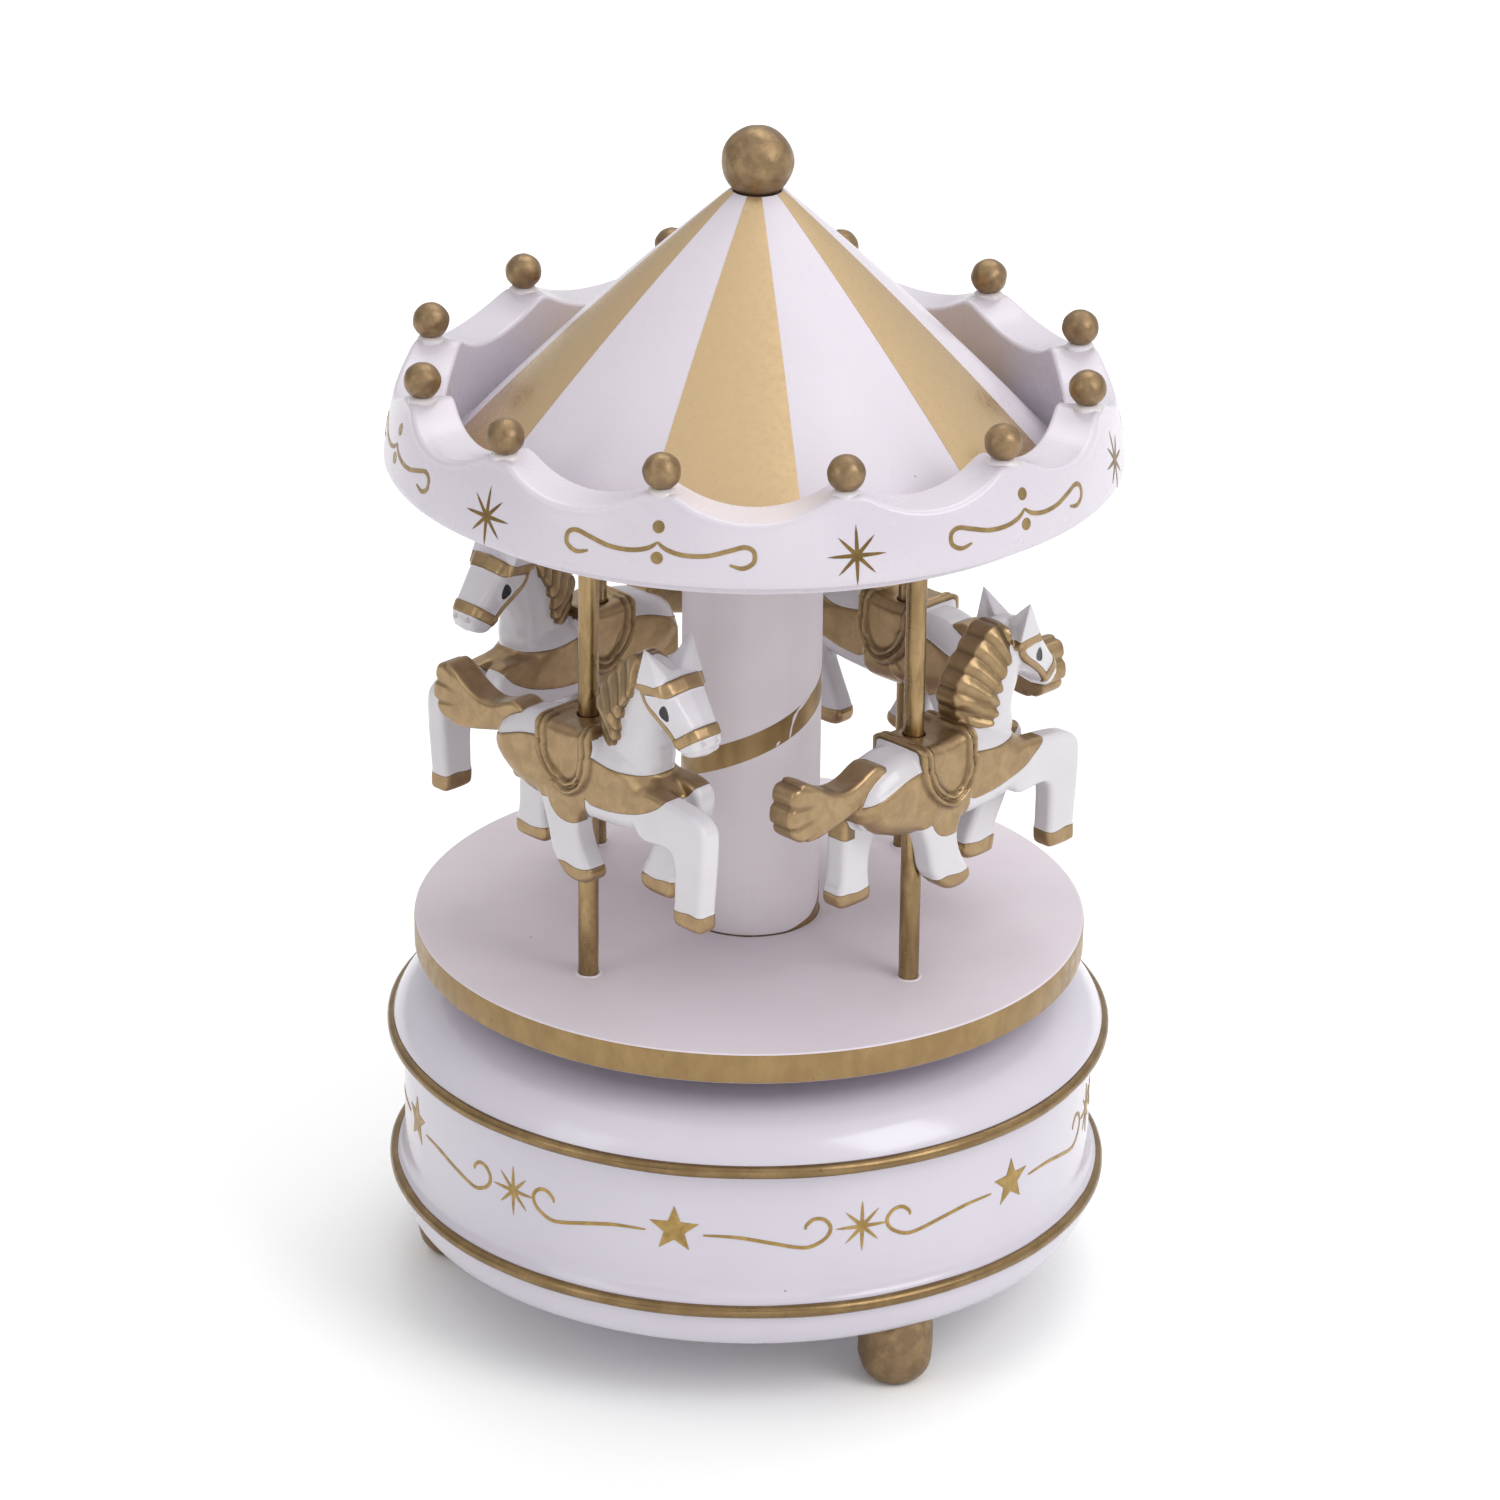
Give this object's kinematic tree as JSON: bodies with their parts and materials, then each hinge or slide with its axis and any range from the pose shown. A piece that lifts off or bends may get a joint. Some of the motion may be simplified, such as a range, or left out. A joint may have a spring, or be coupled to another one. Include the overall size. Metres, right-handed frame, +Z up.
{
  "type": "carousel music box",
  "caption": "Carousel music box: round drum base on ball feet, turning platform with galloping horses on poles, centre column, scalloped canopy ring and striped conical roof.",
  "frame": {"origin": "on the turning axis, at the level that the three ball feet stand on", "axes": "+Z up along the turning axis; -Y is the front, where one foot stands to the right of the middle; +X to the right"},
  "size_m": [0.102, 0.102, 0.1694],
  "materials": {
    "white_gloss": "gloss white paint with a cool tint",
    "white_matte": "eggshell white paint on turned wood",
    "gilt_paint": "antique gold paint, mottled",
    "gilt_pole": "brushed gold-plated tube",
    "roof_print": "printed stripes, gold on white, satin",
    "horse_plastic": "gloss white moulded plastic with gold painted harness",
    "steel": "plain steel",
    "zinc": "die-cast zinc",
    "brass": "plain brass"
  },
  "bodies": {
    "base": {"base_body": "white_gloss", "upper_bead": "gilt_paint", "lower_bead": "gilt_paint", "feet": "gilt_paint", "bottom_cover": "white_matte", "cover_screws": "steel", "top_bushing": "brass", "movement_bedplate": "zinc", "bedplate_screws": "steel", "spring_housing": "brass", "mainspring": "steel", "comb": "steel", "comb_screws": "steel"},
    "carousel": {"spindle": "steel", "drive_gear": "brass", "retaining_clip": "steel", "platform": "white_matte", "spindle_nut": "steel", "column": "white_matte", "pole_1": "gilt_pole", "pole_2": "gilt_pole", "pole_3": "gilt_pole", "pole_4": "gilt_pole", "horse_1": "horse_plastic", "horse_2": "horse_plastic", "horse_3": "horse_plastic", "horse_4": "horse_plastic", "canopy_deck": "white_matte", "canopy_ring": "white_gloss", "crown_beads": "gilt_paint", "roof_cone": "roof_print", "finial": "gilt_paint"},
    "cylinder": {"pinned_cylinder": "brass", "cylinder_arbor": "steel", "cylinder_pinion": "steel", "cylinder_wheel": "brass"},
    "governor": {"governor_wheel": "brass", "governor_pinion": "steel", "governor_arbor": "steel"},
    "fan": {"governor_worm": "steel", "air_brake": "brass"}
  },
  "joints": [
    {"name": "carousel_spin", "type": "hinge", "parent": "base", "child": "carousel", "pos_m": [0, 0, 0.05], "axis": [0, 0, 1], "continuous": true},
    {"name": "cylinder_spin", "type": "hinge", "parent": "base", "child": "cylinder", "pos_m": [0.03, 0, 0.029], "axis": [1, 0, 0], "continuous": true},
    {"name": "governor_spin", "type": "hinge", "parent": "base", "child": "governor", "pos_m": [0.036, 0.0122, 0.029], "axis": [1, 0, 0], "continuous": true},
    {"name": "fan_spin", "type": "hinge", "parent": "base", "child": "fan", "pos_m": [0.03375, 0.0179, 0.03], "axis": [0, 0, 1], "continuous": true}
  ],
  "couplings": [
    {"joint": "cylinder_spin", "follows": "carousel_spin", "ratio": 4},
    {"joint": "governor_spin", "follows": "carousel_spin", "ratio": -12},
    {"joint": "fan_spin", "follows": "carousel_spin", "ratio": 192}
  ]
}
